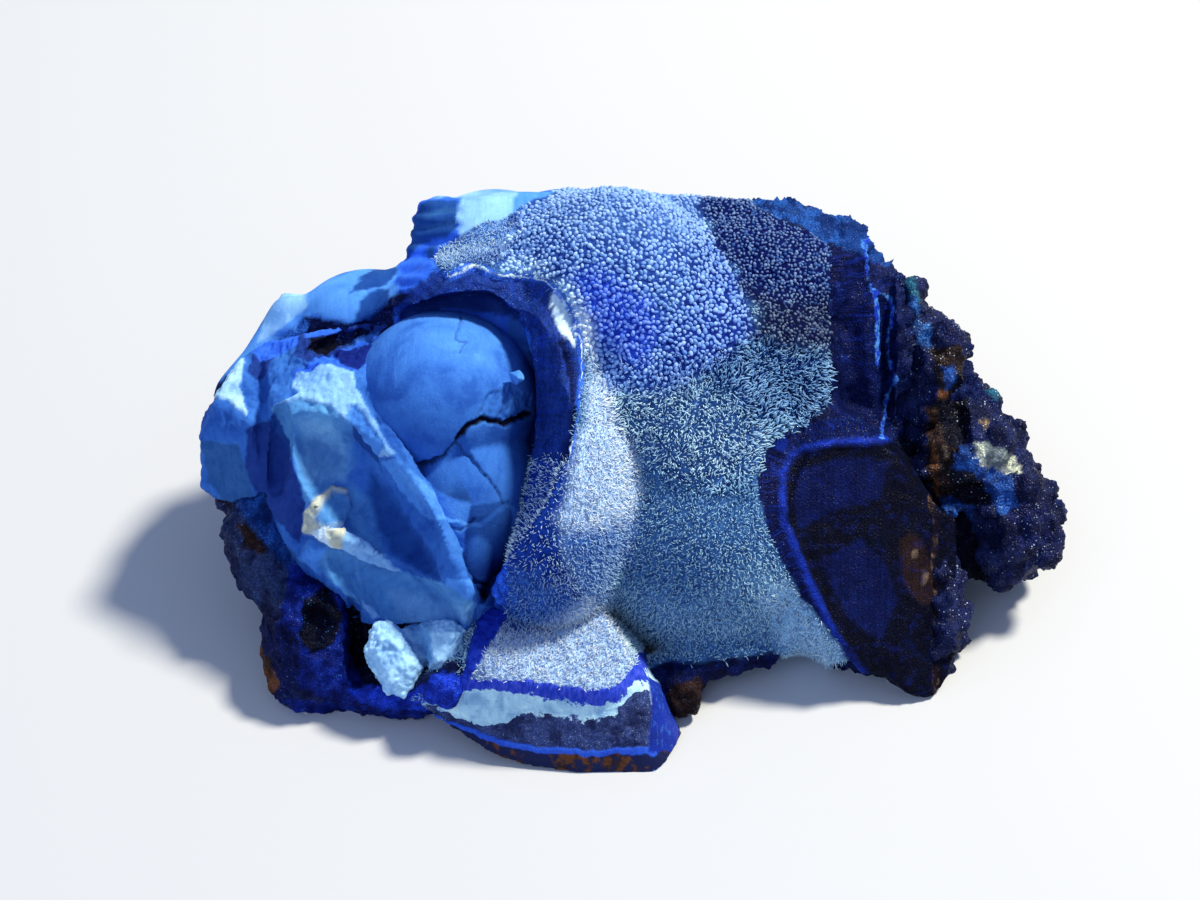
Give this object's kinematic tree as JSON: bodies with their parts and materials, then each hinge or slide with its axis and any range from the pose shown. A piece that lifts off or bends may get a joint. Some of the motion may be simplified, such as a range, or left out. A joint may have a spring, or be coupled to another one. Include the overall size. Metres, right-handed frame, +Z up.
{
  "type": "azurite specimen",
  "caption": "Velvet-skinned botryoidal azurite nodule, broken open at one end over chalky domes, with rough crystalline matrix at the other; rests on its own flat underside.",
  "frame": {"origin": "on the surface it rests on, under the centre of its box", "axes": "+X along its length to the viewer's right, from the broken chalky end to the crystalline matrix end; +Y to the back; +Z up"},
  "size_m": [0.0812, 0.052, 0.0354],
  "materials": {
    "azurite": "matt velvet azurite with chalky and glittering broken faces"
  },
  "bodies": {
    "root": {"azurite_specimen": "azurite"}
  },
  "joints": []
}
